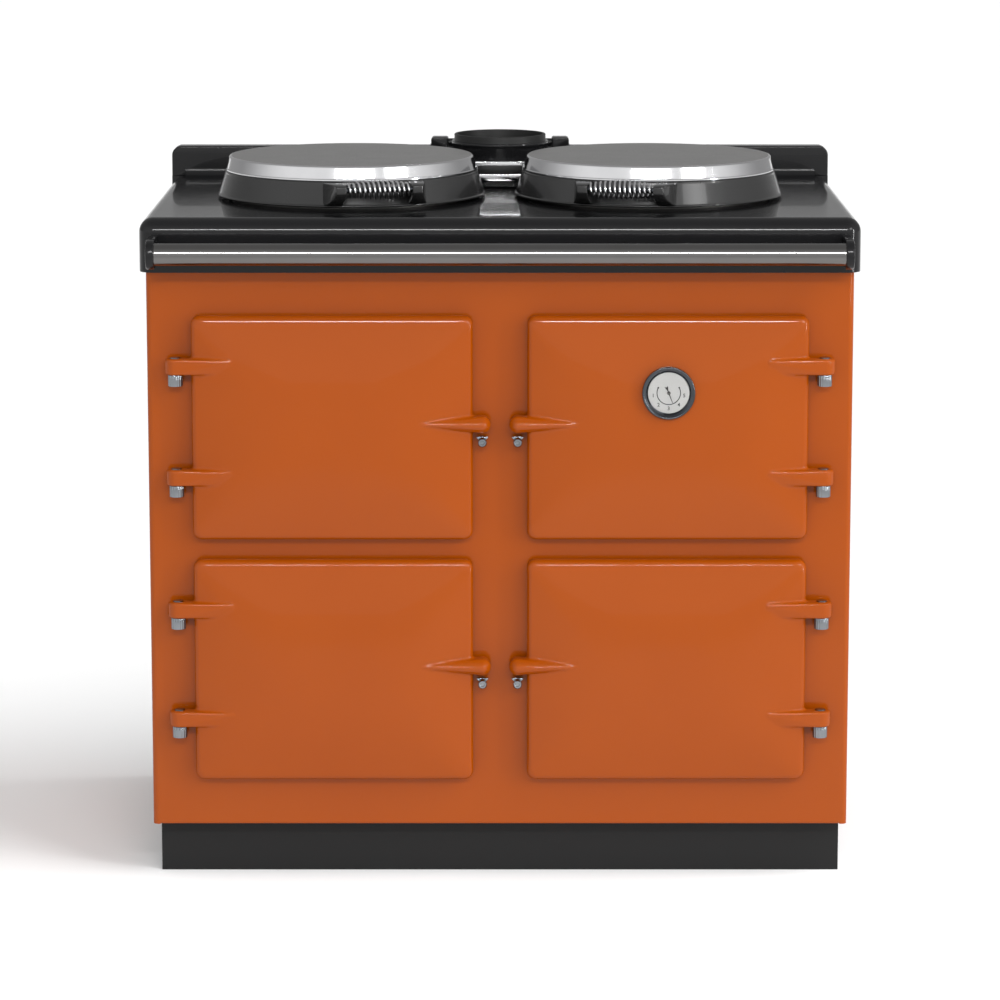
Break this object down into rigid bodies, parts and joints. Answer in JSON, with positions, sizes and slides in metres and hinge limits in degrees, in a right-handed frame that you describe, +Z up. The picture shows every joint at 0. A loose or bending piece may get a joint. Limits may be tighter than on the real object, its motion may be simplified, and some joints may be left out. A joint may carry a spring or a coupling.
{
  "type": "range cooker",
  "caption": "Heat-storage range cooker with pillow-faced oven doors on pin hinges, round insulated hotplate lids with coil handles, a rear flue outlet and a towel rail.",
  "frame": {"origin": "on the floor, in the middle of the whole width and depth", "axes": "+Z up, -Y towards the cook, +X to the cook's right"},
  "size_m": [0.98, 0.6649, 0.997],
  "materials": {
    "orange_enamel": "glossy vitreous enamel",
    "black_enamel": "glossy vitreous enamel with slight waves",
    "flue_black": "satin black",
    "liner_enamel": "semi-gloss black enamel",
    "chrome": "polished and satin chrome",
    "lid_casting": "dark grey gloss enamel",
    "steel": "plain steel",
    "zinc_sheet": "zinc-coated sheet",
    "hotplate_iron": "machined cast iron",
    "plinth_black": "matt black powder coat",
    "seal_rope": "woven heat-resistant tape",
    "insulation_wool": "mineral wool",
    "gland_plastic": "black nylon",
    "dial_face": "brushed silver dial with dark marks",
    "gauge_glass": "clear flat glass",
    "needle_black": "satin black"
  },
  "bodies": {
    "cooker": {"plinth_front": "plinth_black", "plinth_sides": "plinth_black", "levelling_feet": "steel", "base_tray": "steel", "side_panel_left": "orange_enamel", "side_panel_right": "orange_enamel", "back_panel": "zinc_sheet", "front_panel": "orange_enamel", "top_plate": "black_enamel", "rear_upstand": "black_enamel", "towel_rail": "chrome", "rail_brackets": "plinth_black", "hotplate_left": "hotplate_iron", "hotplate_right": "hotplate_iron", "hotplate_elements": "steel", "oven_liner_upper_left": "liner_enamel", "oven_liner_upper_right": "liner_enamel", "oven_liner_lower_left": "liner_enamel", "oven_liner_lower_right": "liner_enamel", "oven_elements": "steel", "oven_seals": "seal_rope", "insulation": "insulation_wool", "flue_casting": "black_enamel", "flue_collar": "flue_black", "badge_frame": "chrome", "badge_inset": "flue_black", "door_hinge_pins": "chrome", "door_catches": "chrome", "lid_hinges": "steel", "fixing_screws": "steel", "cable_gland": "gland_plastic"},
    "upper_left_door": {"door_upper_left": "orange_enamel", "door_lining_upper_left": "steel"},
    "upper_right_door": {"door_upper_right": "orange_enamel", "door_lining_upper_right": "steel", "gauge_bezel": "chrome", "gauge_dial": "dial_face", "gauge_glass": "gauge_glass"},
    "lower_left_door": {"door_lower_left": "orange_enamel", "door_lining_lower_left": "steel"},
    "lower_right_door": {"door_lower_right": "orange_enamel", "door_lining_lower_right": "steel"},
    "left_lid": {"lid_cap_left": "chrome", "lid_rim_left": "lid_casting", "lid_lining_left": "steel", "lid_handle_rod_left": "steel", "lid_handle_spring_left": "chrome"},
    "right_lid": {"lid_cap_right": "chrome", "lid_rim_right": "lid_casting", "lid_lining_right": "steel", "lid_handle_rod_right": "steel", "lid_handle_spring_right": "chrome"},
    "upper_left_shelf": {"shelf_upper_left": "chrome"},
    "upper_right_shelf": {"shelf_upper_right": "chrome"},
    "lower_left_shelf": {"shelf_lower_left": "chrome"},
    "lower_right_shelf": {"shelf_lower_right": "chrome"},
    "needle": {"gauge_needle": "needle_black"}
  },
  "joints": [
    {"name": "upper_left_door_hinge", "type": "hinge", "parent": "cooker", "child": "upper_left_door", "pos_m": [-0.4416, -0.2595, 0.647], "axis": [0, 0, -1], "range_deg": [0, 110]},
    {"name": "upper_right_door_hinge", "type": "hinge", "parent": "cooker", "child": "upper_right_door", "pos_m": [0.4416, -0.2595, 0.647], "axis": [0, 0, 1], "range_deg": [0, 110]},
    {"name": "lower_left_door_hinge", "type": "hinge", "parent": "cooker", "child": "lower_left_door", "pos_m": [-0.4416, -0.2595, 0.3095], "axis": [0, 0, -1], "range_deg": [0, 110]},
    {"name": "lower_right_door_hinge", "type": "hinge", "parent": "cooker", "child": "lower_right_door", "pos_m": [0.4416, -0.2595, 0.3095], "axis": [0, 0, 1], "range_deg": [0, 110]},
    {"name": "left_lid_hinge", "type": "hinge", "parent": "cooker", "child": "left_lid", "pos_m": [-0.25537, 0.22764, 0.94], "axis": [-0.9763, -0.2164, 0], "range_deg": [0, 90]},
    {"name": "right_lid_hinge", "type": "hinge", "parent": "cooker", "child": "right_lid", "pos_m": [0.25537, 0.22764, 0.94], "axis": [-0.9763, 0.2164, 0], "range_deg": [0, 90]},
    {"name": "upper_left_shelf_slide", "type": "slide", "parent": "cooker", "child": "upper_left_shelf", "axis": [0, -1, 0], "range_m": [0, 0.035]},
    {"name": "upper_right_shelf_slide", "type": "slide", "parent": "cooker", "child": "upper_right_shelf", "axis": [0, -1, 0], "range_m": [0, 0.035]},
    {"name": "lower_left_shelf_slide", "type": "slide", "parent": "cooker", "child": "lower_left_shelf", "axis": [0, -1, 0], "range_m": [0, 0.035]},
    {"name": "lower_right_shelf_slide", "type": "slide", "parent": "cooker", "child": "lower_right_shelf", "axis": [0, -1, 0], "range_m": [0, 0.035]},
    {"name": "gauge_needle_turn", "type": "hinge", "parent": "upper_right_door", "child": "needle", "pos_m": [0.2286, -0.2805, 0.6905], "axis": [0, -1, 0], "range_deg": [-137, 94], "stiffness_Nm_per_rad": 0.002}
  ]
}
